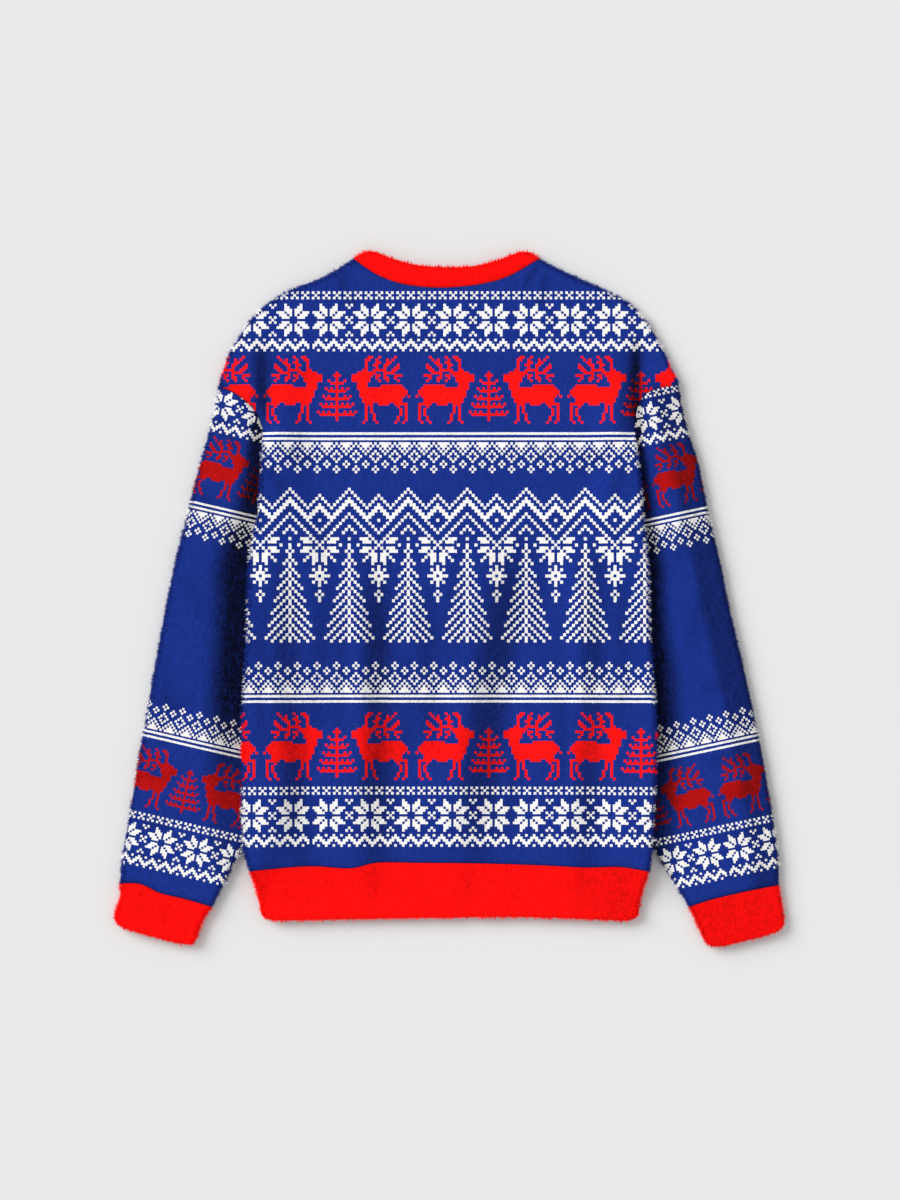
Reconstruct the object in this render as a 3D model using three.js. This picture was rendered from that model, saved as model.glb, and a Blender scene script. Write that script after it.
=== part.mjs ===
// A pullover sweater in thick plush fleece, laid flat with its back up and both sleeves folded
// down beside the body. Millimetres: X to the right, Y towards the neck, Z up from the surface
// it lies on. The origin is under the middle of the laid-out garment.
import * as THREE from 'three';

const clothThickness = 3;
const seamGap = 0.3;
const laidHalfHeight = 4.95;   // half the height of two panels lying on each other
const tuckedHalfHeight = 3.7;  // the same where a sleeve is pressed under the body
const rollRadius = 5;          // the turn of the cloth at a folded edge
const restClearance = 0.6;     // between a tucked sleeve and the panel above it
const bodyLift = 2 * tuckedHalfHeight + restClearance;
const liftFade = 36;           // how far inwards the body comes down off a tucked sleeve
const liftLead = 18;           // the body is still at its full height this far past the sleeve
const seamRise = 18;           // how far from the armhole seam the body reaches its lift
const armpitRise = 32;         // how far below the armpit the side edge reaches its lift
const rollStart = 25;          // how far below the armpit the side is fully turned under
const tuckSlope = 38;          // how wide the sleeve slopes down towards the body
const creaseTopY = 266.7;      // where the armpit crease starts, up on the shoulder
const creaseFullY = 190;
const underarmY = 25;          // where the hidden armhole seam meets the sleeve's inner edge
const foldTaper = 0.3;         // share of a fold's length over which its ends come in
const shoulderFoldY = 216.8;   // above this the shoulder's folded edge is fully turned
const sleeveCentre = [240, -85];
const neckCentre = [-4, 320];

// Each side has its own column: distances outwards from the centre line.
const sides = { left: -1, right: 1 };

// The body's folded side, from the armpit to the hem seam.
const sideRows = [
  { y: 178.5, left: 196, right: 194.4 },
  { y: 124.9, left: 198.6, right: 200.7 },
  { y: 91.2, left: 200.4, right: 203 },
  { y: 62, left: 207.4, right: 206.2 },
  { y: 35, left: 210.9, right: 208.6 },
  { y: -34.9, left: 212.8, right: 210.7 },
  { y: -110.6, left: 217, right: 216 },
  { y: -161, left: 218.1, right: 217 },
  { y: -211.5, left: 217.9, right: 215 },
  { y: -258.8, left: 216.6, right: 212.6 },
  { y: -286, left: 209.8, right: 209.6 },
];

// The armhole seam where it shows, from the shoulder tip to the armpit.
const armholePoints = {
  left: [[242.7, 223.6], [226.6, 216.8], [211.6, 205.6], [202.4, 194], [196, 178.5]],
  right: [[240.7, 224.7], [220.7, 221.4], [205, 214], [198, 202], [194.4, 178.5]],
};

// The shoulder, from its tip to the side of the neck.
const shoulderRows = [
  { y: 231, left: 241.2, right: 239.8 },
  { y: 242.6, left: 237, right: 233 },
  { y: 259.9, left: 230.7, right: 225.6 },
  { y: 275.1, left: 221.2, right: 217.5 },
  { y: 295.1, left: 207.6, right: 204.9 },
  { y: 310.9, left: 190.8, right: 189.2 },
  { y: 323.9, left: 169, right: 166 },
  { y: 336.1, left: 138.2, right: 138.7 },
  { y: 345.6, left: 119.7, right: 117.7 },
  { y: 357.6, left: 101.4, right: 94.6 },
];

// The neck rib's seams and free edges, from the left end to the right end.
const neckLines = {
  backSeam: [[-101.4, 357.6], [-76.5, 340.9], [-48.9, 330.9], [-7.1, 327], [38.4, 331.9], [62.5, 339.3],
    [94.6, 357.6]],
  backEdge: [[-89.6, 364.6], [-78.8, 364.8], [-62.5, 358.6], [-37.9, 351.6], [-7.1, 348.7], [22.2, 349.5],
    [46.3, 354.6], [67.3, 362.4], [76, 364.8], [84.6, 364.6]],
  frontSeam: [[-101.4, 357.6], [-92, 330], [-77, 303], [-48, 278], [-4, 268], [40, 278], [70, 303],
    [85, 330], [94.6, 357.6]],
  frontEdge: [[-89.6, 364.6], [-73, 336], [-60, 315], [-38, 298], [-4, 290], [31, 298], [53, 315],
    [66, 336], [84.6, 364.6]],
};

// How deep a sleeve's inner margin lies in under the body's side: its hidden armhole seam down
// to the underarm point, and then its folded inner edge.
const tuckRows = [
  { y: 178.5, depth: 0 },
  { y: 158, depth: -0.9 },
  { y: 141, depth: -0.9 },
  { y: 122, depth: 5 },
  { y: 96, depth: 16 },
  { y: 61, depth: 31 },
  { y: underarmY, depth: 41 },
  { y: -43, depth: 40 },
  { y: -127, depth: 34 },
  { y: -200, depth: 18 },
  { y: -258.8, depth: -0.6 },
];

// The sleeve's folded outer edge, below the shoulder tip.
const sleeveRows = [
  { y: 179.5, left: 251.7, right: 248.9 },
  { y: 141.7, left: 262.2, right: 260.1 },
  { y: 91.2, left: 274.8, right: 270.3 },
  { y: 40.8, left: 287.4, right: 282.2 },
  { y: -9.7, left: 298, right: 292.2 },
  { y: -85.3, left: 311.6, right: 310 },
  { y: -161, left: 325.3, right: 326.3 },
  { y: -236.7, left: 337.9, right: 338.9 },
];

// The cuffs: the seam and the free end run from the outer to the inner folded edge.
const cuffLines = {
  left: {
    seam: [[346.4, -299], [325.3, -299.8], [304.3, -309.4], [280.1, -315.1], [249.6, -323.9]],
    outer: [[346.4, -299], [346.4, -312], [351.7, -330]],
    inner: [[249.6, -323.9], [259.3, -339], [265, -355]],
    end: [[351.7, -330], [350.6, -339.6], [341, -346.3], [310.7, -355.6], [281, -362.6], [270, -362.4],
      [265, -355]],
  },
  right: {
    seam: [[346.1, -301], [325, -305], [304, -309.4], [278, -315.6], [251.7, -323.9]],
    outer: [[346.1, -301], [348.6, -315], [351.7, -334]],
    inner: [[251.7, -323.9], [259, -339], [266, -355]],
    end: [[351.7, -334], [350.4, -345], [340, -351.4], [312, -359], [287, -364.9], [273, -363.8],
      [266, -355]],
  },
};

// The hem rib: the seam and the free edge run from the left to the right folded edge.
const hemLines = {
  seam: [[-209.8, -286], [-184.5, -282.6], [-144.5, -280.6], [-102, -282.4], [-78, -277], [-30, -276.9],
    [40, -277.8], [120, -279.4], [179.2, -281.4], [209.6, -286]],
  left: [[-209.8, -286], [-203.6, -304], [-199, -323]],
  right: [[209.6, -286], [203.9, -304], [199.6, -323]],
  edge: [[-199, -323], [-196.6, -333], [-188, -337.3], [-166, -337.8], [-70, -336.4], [60, -337.4],
    [166, -338.8], [188, -338.6], [197, -334], [199.6, -323]],
};

// Soft valleys of the upper panel, each from its top through its middle to its foot.
const foldRows = [
  { topX: -173, topY: 78, midX: -168, midY: -110, footX: -150, footY: -300, depth: 2.2, width: 15 },
  { topX: -78, topY: 70, midX: -75, midY: -106, footX: -76, footY: -305, depth: 3.3, width: 16 },
  { topX: -24, topY: 30, midX: -21, midY: -75, footX: -16, footY: -190, depth: 1.3, width: 13 },
  { topX: 80, topY: 84, midX: 48, midY: -80, footX: 20, footY: -302, depth: 3.1, width: 21 },
  { topX: 92, topY: 40, midX: 90, midY: -10, footX: 84, footY: -70, depth: 1.5, width: 11 },
  { topX: 145, topY: 100, midX: 150, midY: -96, footX: 142, footY: -300, depth: 2.3, width: 14 },
];

// Steps of the surface grids: in millimetres from a folded edge, or counted.
const rollSteps = [0, 0.7, 2.5, rollRadius];
const marginStep = 11;
const backStep = 13;
const frontStep = 16;
const bodyRowStep = 54;
const armpitSteps = [0, 6, 15, 26];
const hemStep = 9;
const armholeStep = 20;
const hiddenSeamStep = 26;
const sleeveRowCount = 13;
const ribRowCount = 3;
const shoulderStep = 34;
const neckSteps = [0, 2.5, 7];
const lineSamples = 160;

const red = new THREE.MeshStandardMaterial({ color: 0xe8140f, roughness: 0.95, metalness: 0 });
const blue = new THREE.MeshStandardMaterial({ color: 0x1c3489, roughness: 0.95, metalness: 0 });

function smooth(t) {
  const s = Math.min(Math.max(t, 0), 1);
  return s * s * (3 - 2 * s);
}

function planCurve(points) {
  return new THREE.CatmullRomCurve3(
    points.map(([x, y]) => new THREE.Vector3(x, y, 0)), false, 'centripetal');
}

function sampled(curve) {
  return curve.getPoints(lineSamples).map((point) => [point.x, point.y]);
}

function walk(curve, fractions) {
  return fractions.map((fraction) => {
    const point = curve.getPointAt(fraction);
    return [point.x, point.y];
  });
}

// The x of a line of points that runs down the page, at height y.
function acrossAt(points, y) {
  const found = points.findIndex((point) => point[1] <= y);
  if (found === 0) return points[0][0];
  if (found < 0) return points[points.length - 1][0];
  const above = points[found - 1];
  const below = points[found];
  return THREE.MathUtils.mapLinear(y, above[1], below[1], above[0], below[0]);
}

// Moves an open line to the left of its direction.
function shiftLine(line, distance) {
  return line.map(([x, y], i) => {
    const before = line[Math.max(i - 1, 0)];
    const after = line[Math.min(i + 1, line.length - 1)];
    const dx = after[0] - before[0];
    const dy = after[1] - before[1];
    const length = Math.hypot(dx, dy);
    return [x - distance * dy / length, y + distance * dx / length];
  });
}

function mirrored(line, sign) {
  return line.map(([x, y]) => [sign * x, y]);
}

// The nearest point of a line: its distance, its place along the line, and its segment.
function nearest(line, x, y) {
  let best = { distance: Infinity };
  for (let i = 0; i + 1 < line.length; i += 1) {
    const [ax, ay] = line[i];
    const dx = line[i + 1][0] - ax;
    const dy = line[i + 1][1] - ay;
    const squared = dx * dx + dy * dy;
    const t = Math.min(Math.max(((x - ax) * dx + (y - ay) * dy) / squared, 0), 1);
    const off = [x - ax - t * dx, y - ay - t * dy];
    const distance = Math.hypot(off[0], off[1]);
    if (distance < best.distance) {
      best = { distance, off, along: (i + t) / (line.length - 1), segment: [dx, dy] };
    }
  }
  return best;
}

// The turn of the cloth at a point near its folded edges: cosine 1 on an edge and 0 where it
// lies flat, and the plan direction from the edge into the piece, whose middle is centre.
function turnAt(edges, centre, x, y) {
  const found = edges.map((edge) => nearest(edge, x, y));
  const near = found.reduce((a, b) => (b.distance < a.distance ? b : a));
  let inward = near.off;
  const touching = 0.3;
  if (near.distance < touching) {
    inward = [near.segment[1], -near.segment[0]];
    const towards = inward[0] * (centre[0] - x) + inward[1] * (centre[1] - y);
    if (towards < 0) inward = inward.map((part) => -part);
  }
  const size = Math.hypot(inward[0], inward[1]);
  return {
    cosine: 1 - Math.min(near.distance, rollRadius) / rollRadius,
    inward: inward.map((part) => part / size),
  };
}

// Fractions of a length, with given steps in from both ends and even ones between them.
function spacing(length, step, fromStart, fromEnd) {
  const start = fromStart;
  const end = fromEnd.map((distance) => length - distance).reverse();
  const from = start[start.length - 1];
  const reach = end[0] - from;
  const count = Math.max(Math.round(reach / step), 1);
  const middle = Array.from({ length: count - 1 }, (_, i) => from + reach * (i + 1) / count);
  return [...start, ...middle, ...end].map((distance) => distance / length);
}

function measured(line) {
  const lengths = [0];
  for (let i = 1; i < line.length; i += 1) {
    const step = Math.hypot(line[i][0] - line[i - 1][0], line[i][1] - line[i - 1][1]);
    lengths.push(lengths[i - 1] + step);
  }
  return lengths.map((length) => length / lengths[lengths.length - 1]);
}

// A grid of plan points between four boundary lines: its rows lie at us along left and right,
// and its columns at vs along bottom and top. topShare says how much of the top line's own shape
// a row takes on.
function patch({ left, right, bottom, top }, us, vs, topShare = (u) => u) {
  const lastRow = left.length - 1;
  const lastColumn = bottom.length - 1;
  const mix = (a, b, t) => [a[0] + (b[0] - a[0]) * t, a[1] + (b[1] - a[1]) * t];
  return left.map((_, i) => bottom.map((__, j) => {
    if (i === 0) return bottom[j];
    if (i === lastRow) return top[j];
    if (j === 0) return left[i];
    if (j === lastColumn) return right[i];
    const across = mix(left[i], right[i], vs[j]);
    const lowChord = mix(bottom[0], bottom[lastColumn], vs[j]);
    const highChord = mix(top[0], top[lastColumn], vs[j]);
    return across.map((value, axis) => value
      + (1 - us[i]) * (bottom[j][axis] - lowChord[axis])
      + topShare(us[i]) * (top[j][axis] - highChord[axis]));
  }));
}

// On a seam the turned-under cloth follows the seam, so that both sides of it match.
function alongRow(row, j, inward) {
  const before = row[Math.max(j - 1, 0)];
  const after = row[Math.min(j + 1, row.length - 1)];
  const dx = after[0] - before[0];
  const dy = after[1] - before[1];
  const sign = Math.sign(dx * inward[0] + dy * inward[1]) || 1;
  const length = Math.hypot(dx, dy);
  return [sign * dx / length, sign * dy / length];
}

// The outer and inner skin of one layer of cloth over a plan grid. up is 1 for the upper layer
// and -1 for the lower one, and part is how far each stays from the level where they meet.
function layer(grid, up, form, part) {
  const skins = grid.map((row, i) => row.map(([x, y], j) => {
    const { turn, middle, half, fold } = form(x, y);
    if (i === 0 || i === grid.length - 1) turn.inward = alongRow(row, j, turn.inward);
    const sine = Math.sqrt(1 - turn.cosine ** 2);
    const rise = Math.max((half - fold) * sine, part);
    const innerRise = Math.max((half - fold - clothThickness) * sine, part);
    const shift = clothThickness * turn.cosine;
    return {
      outer: [x, y, middle + up * rise],
      inner: [x + shift * turn.inward[0], y + shift * turn.inward[1], middle + up * innerRise],
    };
  }));
  return {
    outer: skins.map((row) => row.map((point) => point.outer)),
    inner: skins.map((row) => row.map((point) => point.inner)),
  };
}

// A closed wall between an outer and an inner grid of points. A tube closes round its columns.
function wall({ outer, inner }, closed, material, name) {
  const rows = outer.length;
  const columns = outer[0].length;
  const spans = closed ? columns : columns - 1;
  const positions = [...outer.flat(), ...inner.flat()].flat();
  const skin = rows * columns;
  const index = [];
  const quad = (a, b, c, d) => index.push(a, b, c, a, c, d);
  const at = (i, j) => i * columns + (j % columns);
  for (let j = 0; j < spans; j += 1) {
    for (let i = 0; i + 1 < rows; i += 1) {
      quad(at(i, j), at(i, j + 1), at(i + 1, j + 1), at(i + 1, j));
      quad(skin + at(i, j), skin + at(i + 1, j), skin + at(i + 1, j + 1), skin + at(i, j + 1));
    }
    const end = rows - 1;
    quad(at(0, j), skin + at(0, j), skin + at(0, j + 1), at(0, j + 1));
    quad(at(end, j), at(end, j + 1), skin + at(end, j + 1), skin + at(end, j));
  }
  for (let i = 0; i + 1 < rows && !closed; i += 1) {
    const end = columns - 1;
    quad(at(i, 0), at(i + 1, 0), skin + at(i + 1, 0), skin + at(i, 0));
    quad(at(i, end), skin + at(i, end), skin + at(i + 1, end), at(i + 1, end));
  }
  const geometry = new THREE.BufferGeometry();
  geometry.setAttribute('position', new THREE.Float32BufferAttribute(positions, 3));
  geometry.setIndex(enclosedVolume(positions, index) > 0 ? index : index.reverse());
  const mesh = new THREE.Mesh(geometry, material);
  mesh.name = name;
  return mesh;
}

function enclosedVolume(positions, index) {
  const corners = [0, 1, 2].map(() => new THREE.Vector3());
  let volume = 0;
  for (let i = 0; i < index.length; i += 3) {
    corners.forEach((corner, k) => corner.fromArray(positions, 3 * index[i + k]));
    volume += corners[0].dot(corners[1].cross(corners[2])) / 6;
  }
  return volume;
}

// A tube lying flat: an upper and a lower layer that share the points of both folded edges.
function tube(upperGrid, lowerGrid, form, material, name) {
  const upper = layer(upperGrid, 1, form, 0);
  const lower = layer(lowerGrid, -1, (x, y) => ({ ...form(x, y), fold: 0 }), 0);
  const around = (skin) => upper[skin].map((row, i) => [...row, ...lower[skin][i].slice(1, -1).reverse()]);
  return wall({ outer: around('outer'), inner: around('inner') }, true, material, name);
}

// The lines of one side in plan, outwards positive, shared by every piece that meets there.
function sidePlan(side) {
  const bodySide = planCurve(sideRows.map((row) => [row[side], row.y]));
  const bodyLine = sampled(bodySide);
  const tip = armholePoints[side][0];
  const { seam } = cuffLines[side];
  const tucked = (row) => [acrossAt(bodyLine, row.y) - row.depth, row.y];
  const hidden = tuckRows.filter((row) => row.y >= underarmY).map(tucked);
  const inner = tuckRows.filter((row) => row.y <= underarmY).map(tucked);
  const curves = {
    bodySide,
    armhole: planCurve(armholePoints[side]),
    shoulder: planCurve([tip, ...shoulderRows.map((row) => [row[side], row.y])]),
    hidden: planCurve(hidden),
    inner: planCurve([...inner, seam.at(-1)]),
    outer: planCurve([tip, ...sleeveRows.map((row) => [row[side], row.y]), seam[0]]),
  };
  const lines = Object.fromEntries(Object.entries(curves).map(([name, curve]) => [name, sampled(curve)]));
  return { curves, lines };
}

const plans = { left: sidePlan('left'), right: sidePlan('right') };
const armpitY = sideRows[0].y;
const sleeveEdges = {
  left: [...plans.left.lines.hidden, ...plans.left.lines.inner],
  right: [...plans.right.lines.hidden, ...plans.right.lines.inner],
};

// How far the body stands off the surface, because a sleeve's margin is tucked under it.
function liftAt(x, y) {
  const side = x < 0 ? 'left' : 'right';
  const out = Math.abs(x);
  const { lines } = plans[side];
  const sleeveEdge = acrossAt(sleeveEdges[side], y);
  const fromSeam = smooth(nearest(lines.armhole, out, y).distance / seamRise);
  const rise = THREE.MathUtils.lerp(fromSeam, 1, smooth((armpitY - y) / armpitRise));
  const crease = smooth((creaseTopY - y) / (creaseTopY - creaseFullY));
  return bodyLift * rise * crease * smooth((out - sleeveEdge + liftLead + liftFade) / liftFade);
}

// Half the height of two layers: they are pressed flatter near the armpit and under the body.
function halfHeightAt(distance) {
  return THREE.MathUtils.lerp(tuckedHalfHeight, laidHalfHeight, smooth(distance / tuckSlope));
}

const folds = foldRows.map((row) => ({
  ...row,
  line: sampled(planCurve([[row.topX, row.topY], [row.midX, row.midY], [row.footX, row.footY]])),
}));

function foldAt(x, y) {
  const depths = folds.map((fold) => {
    const { distance, along } = nearest(fold.line, x, y);
    const ends = smooth(along / foldTaper) * smooth((1 - along) / foldTaper);
    return fold.depth * ends * Math.exp(-((distance / fold.width) ** 2));
  });
  return Math.max(...depths);
}

// How the body's cloth lies at a point. Its sides turn under little by little below the armpit.
function bodyForm(folded) {
  const centre = [0, 0];
  const edges = ['left', 'right'].flatMap((side) => [
    mirrored(plans[side].lines.bodySide, sides[side]),
    mirrored(plans[side].lines.shoulder, sides[side]),
  ]);
  return (x, y) => {
    const armpitX = sideRows[0][x < 0 ? 'left' : 'right'];
    const turn = turnAt(edges, centre, x, y);
    if (y < shoulderFoldY) turn.cosine *= smooth((armpitY - y) / rollStart);
    const half = halfHeightAt(Math.hypot(Math.abs(x) - armpitX, y - armpitY));
    return { turn, middle: liftAt(x, y) + half, half, fold: folded ? foldAt(x, y) : 0 };
  };
}

// The body's boundary on one side: the folded side, the armhole seam and the shoulder.
const armholeFractions = {};
for (const side of Object.keys(sides)) {
  const length = plans[side].curves.armhole.getLength();
  const count = Math.round(plans.left.curves.armhole.getLength() / armholeStep);
  armholeFractions[side] = spacing(length, length / (count + 1), rollSteps, rollSteps);
}

function shoulderPoints(side) {
  const { shoulder } = plans[side].curves;
  return walk(shoulder, spacing(shoulder.getLength(), shoulderStep, rollSteps, neckSteps));
}

function bodyBoundary(side) {
  const { bodySide, armhole } = plans[side].curves;
  const down = walk(bodySide, spacing(bodySide.getLength(), bodyRowStep, armpitSteps, [0, hemStep]));
  const seam = shiftLine(walk(armhole, armholeFractions[side]), -seamGap / 2);
  const up = shoulderPoints(side).slice(1);
  return mirrored([...down.slice(1).reverse(), ...seam.reverse(), ...up], sides[side]);
}

// The columns of a body panel run from the hem seam to the neck seam.
function bodyColumns(step) {
  const width = planCurve(hemLines.seam).getLength();
  return spacing(width, step, [...rollSteps, marginStep], [...rollSteps, marginStep]);
}

function bodyGrid(step, neckSeam) {
  const left = bodyBoundary('left');
  const right = bodyBoundary('right');
  const vs = bodyColumns(step);
  const bottom = shiftLine(walk(planCurve(hemLines.seam), vs), seamGap / 2);
  const top = shiftLine(walk(planCurve(neckSeam), vs), -seamGap / 2);
  const us = measured(left);
  const tip = us[us.length - shoulderPoints('left').length];
  return patch({ left, right, bottom, top }, us, vs, (u) => Math.max(u - tip, 0) / (1 - tip));
}

function bodyPanels() {
  const back = layer(bodyGrid(backStep, neckLines.backSeam), 1, bodyForm(true), seamGap / 2);
  const front = layer(bodyGrid(frontStep, neckLines.frontSeam), -1, bodyForm(false), seamGap / 2);
  return [wall(back, false, blue, 'back'), wall(front, false, blue, 'front')];
}

// The whole armhole seam of a sleeve, the part that shows and the part that is hidden.
function sleeveHead(side) {
  const { curves } = plans[side];
  const hiddenLength = curves.hidden.getLength();
  const hidden = walk(curves.hidden, spacing(hiddenLength, hiddenSeamStep, [0], rollSteps));
  const armhole = walk(curves.armhole, armholeFractions[side]);
  return shiftLine([...armhole, ...hidden.slice(1)], seamGap / 2);
}

// A sleeve: a flat tapered tube from the armhole seam to the cuff seam.
function sleeve(side) {
  const { curves, lines } = plans[side];
  const bottom = sleeveHead(side);
  const vs = measured(bottom);
  const us = Array.from({ length: sleeveRowCount + 1 }, (_, i) => i / sleeveRowCount);
  const top = shiftLine(walk(planCurve(cuffLines[side].seam), vs), -seamGap / 2);
  const grid = patch({ left: walk(curves.outer, us), right: walk(curves.inner, us), bottom, top }, us, vs);
  const form = (x, y) => {
    const out = Math.abs(x);
    const under = y < armpitY && out < acrossAt(lines.bodySide, y);
    const half = halfHeightAt(under ? 0 : nearest(lines.bodySide, out, y).distance);
    const turn = turnAt([lines.outer, lines.inner], sleeveCentre, x, y);
    return { turn, middle: half, half, fold: 0 };
  };
  return placed(tube(grid, grid, form, blue, `sleeve_${side}`), side);
}

// Puts a piece that was worked out outwards positive on its own side of the body.
function placed(mesh, side) {
  if (sides[side] > 0) return mesh;
  mesh.geometry.scale(-1, 1, 1);
  mesh.geometry.setIndex([...mesh.geometry.index.array].reverse());
  return mesh;
}

// A band of rib: a flat tube between its seam and its free edge, whose two layers may follow
// different lines. Its ends are folded edges.
function band({ upper, lower, ends, rows, centre, lift, fold, material, name }) {
  const us = Array.from({ length: rows + 1 }, (_, i) => i / rows);
  const left = walk(planCurve(ends[0]), us);
  const right = walk(planCurve(ends[1]), us);
  const gridOf = ({ seam, edge, vs }) => {
    const bottom = shiftLine(walk(planCurve(seam), vs), seamGap / 2);
    const top = walk(planCurve(edge), vs);
    return patch({ left, right, bottom, top }, us, vs);
  };
  const edges = ends.map((end) => sampled(planCurve(end)));
  const form = (x, y) => ({
    turn: turnAt(edges, centre, x, y),
    middle: lift(x, y) + laidHalfHeight,
    half: laidHalfHeight,
    fold: fold(x, y),
  });
  return tube(gridOf(upper), gridOf(lower), form, material, name);
}

const none = () => 0;

function cuff(side) {
  const lines = cuffLines[side];
  const { seam, end } = lines;
  const [outerX, outerY] = seam[0];
  const [innerX, innerY] = end.at(-1);
  const layers = { seam, edge: end, vs: measured(sleeveHead(side)) };
  return placed(band({
    upper: layers,
    lower: layers,
    ends: [lines.outer, lines.inner],
    rows: ribRowCount,
    centre: [(outerX + innerX) / 2, (outerY + innerY) / 2],
    lift: none,
    fold: none,
    material: red,
    name: `cuff_${side}`,
  }), side);
}

function hemRib() {
  const { seam, edge, left, right } = hemLines;
  const lines = { seam: [...seam].reverse(), edge: [...edge].reverse() };
  const columns = (step) => bodyColumns(step).map((v) => 1 - v).reverse();
  return band({
    upper: { ...lines, vs: columns(backStep) },
    lower: { ...lines, vs: columns(frontStep) },
    ends: [right, left],
    rows: ribRowCount,
    centre: [0, (seam[0][1] + edge[0][1]) / 2],
    lift: liftAt,
    fold: foldAt,
    material: red,
    name: 'hem_rib',
  });
}

function neckRib() {
  const { backSeam, backEdge, frontSeam, frontEdge } = neckLines;
  return band({
    upper: { seam: backSeam, edge: backEdge, vs: bodyColumns(backStep) },
    lower: { seam: frontSeam, edge: frontEdge, vs: bodyColumns(frontStep) },
    ends: [[backSeam[0], backEdge[0]], [backSeam.at(-1), backEdge.at(-1)]],
    rows: ribRowCount - 1,
    centre: neckCentre,
    lift: none,
    fold: none,
    material: red,
    name: 'neck_rib',
  });
}

const sweater = new THREE.Group();
sweater.add(
  ...bodyPanels(),
  sleeve('left'),
  sleeve('right'),
  neckRib(),
  hemRib(),
  cuff('left'),
  cuff('right'),
);

export default sweater;
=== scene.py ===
import bmesh
import bpy
import numpy as np
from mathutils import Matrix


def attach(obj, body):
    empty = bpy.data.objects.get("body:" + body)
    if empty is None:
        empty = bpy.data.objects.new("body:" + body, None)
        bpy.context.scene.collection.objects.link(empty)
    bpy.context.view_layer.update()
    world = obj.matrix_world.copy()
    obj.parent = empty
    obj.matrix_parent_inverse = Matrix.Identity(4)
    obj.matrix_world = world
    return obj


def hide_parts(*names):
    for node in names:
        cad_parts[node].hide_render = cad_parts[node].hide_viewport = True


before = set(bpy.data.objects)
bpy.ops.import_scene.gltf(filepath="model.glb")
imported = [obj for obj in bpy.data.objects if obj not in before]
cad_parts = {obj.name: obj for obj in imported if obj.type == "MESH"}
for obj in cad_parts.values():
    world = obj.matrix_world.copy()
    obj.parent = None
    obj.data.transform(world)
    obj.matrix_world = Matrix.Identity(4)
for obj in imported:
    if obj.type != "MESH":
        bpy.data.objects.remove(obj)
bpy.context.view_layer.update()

# The print of the fleece: traditional bands of checks, stars, zigzags, reindeer with firs, lines,
# peaks and tall trees. Every motif is the same on both sides of a middle line, so a chart gives
# its rows from that line outwards, a letter for each stitch. Sizes are in millimetres.
check_rows = [".X.", "X..", ".X."]
star_half = ["...X...X.", "..XX....X", ".XXX.....", ".XX.XXX..", ".X.XXX...", "..XXX..X."]
star_rows = [*star_half, "........X", *star_half[::-1]]
zigzag_rows = ["X..X", "XX..", ".XX.", "..XX", "X..X"]
fir_rows = [
    "X", "XX", "X", "X..X", "XXX", "X", "X.X.X", "XXXX", "X", "X..X.X", "XXXXX", "X", "X.X.X.X",
    "XXXXXX", "X", "X..X.X.X", "XXXXXXX", "X", "X",
]
deer_rows = [
    "......XX..X.....X.....",
    ".....XX..X...X.X......",
    ".....X...XX..XX.......",
    ".....X..XX..XX...X....",
    ".....X...X..X...XX....",
    "....XX..XXXXX..XX.....",
    "..XXXXXXX...XXXX......",
    "XXXXXXXX.XX.X...XXX...",
    "XXXXXXX..X..XX..X.....",
    "XXXXXXX...X..X...X....",
    "..XXXX................",
    "..XXXX.....XXXXXXXX...",
    "..XXXXXXXXXXXXXXXXXX..",
    "...XXXXXXXXXXXXXXXXXX.",
    "...XXXXXXXXXXXXXXXXXX.",
    "...XXXXXXXXXXXXXXXXX.X",
    "....XXXXXXXXXXXXXXX...",
    "....XXXXXXXXXXXXXXX...",
    ".....XXX..XXXX..XXXXX.",
    ".....X.X.........X..X.",
    ".....X.X..........X.X.",
    ".....X.X..........X.X.",
    ".....X..X.........X.X.",
    ".....X..X........X..X.",
    ".....X..X........X..X.",
    "....X....X......X..X..",
]
peak_rows = [
    "X.XXX", ".X.XX", "..X.X", "X..X.", ".X..X", "..X..", ".X...", "X...X", "...X.", "X...X",
    ".X...", "X....",
]
tree_top_rows = [
    "X..........", ".X.........", "..X.......X", "X..X.....X.", "XX..X...X..", ".XX..X.X..X",
    "..XX..X..XX", "...XX...XX.", "X...XX.XX..", ".X...XXX...", "..X...X...X", "...X...X...",
    "X...X...X..", ".X...X...X.", "..X...X...X", ".......X...", "X...XXX.X..", ".....XXX.X.",
    "X..X......X", "X....XXX.X.", ".X..XXX.X..", "X......XXX.", "X.....X.XX.", ".X...X..XX.",
    "X.X.....X..",
]
tree_foot_rows = [
    "X.........X", ".X......X.X", "X.X......XX", "X..X...XXX.", ".X.......XX", "X.X.....X.X",
    "X..X......X", ".X..X......", "X.X.......X", "X..X.....X.", ".X..X.....X", "X.X..X....X",
    "X..X.......", ".X..X......", "X.X..X.....", "X..X..X....", ".X..X......", "X.X..X.....",
    "X..X..X....", ".X..X..X...", "X.X..X.....", "X..X..X....", ".X..X..X...", "X.X..X..X..",
    "X..X..X....",
]
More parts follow.
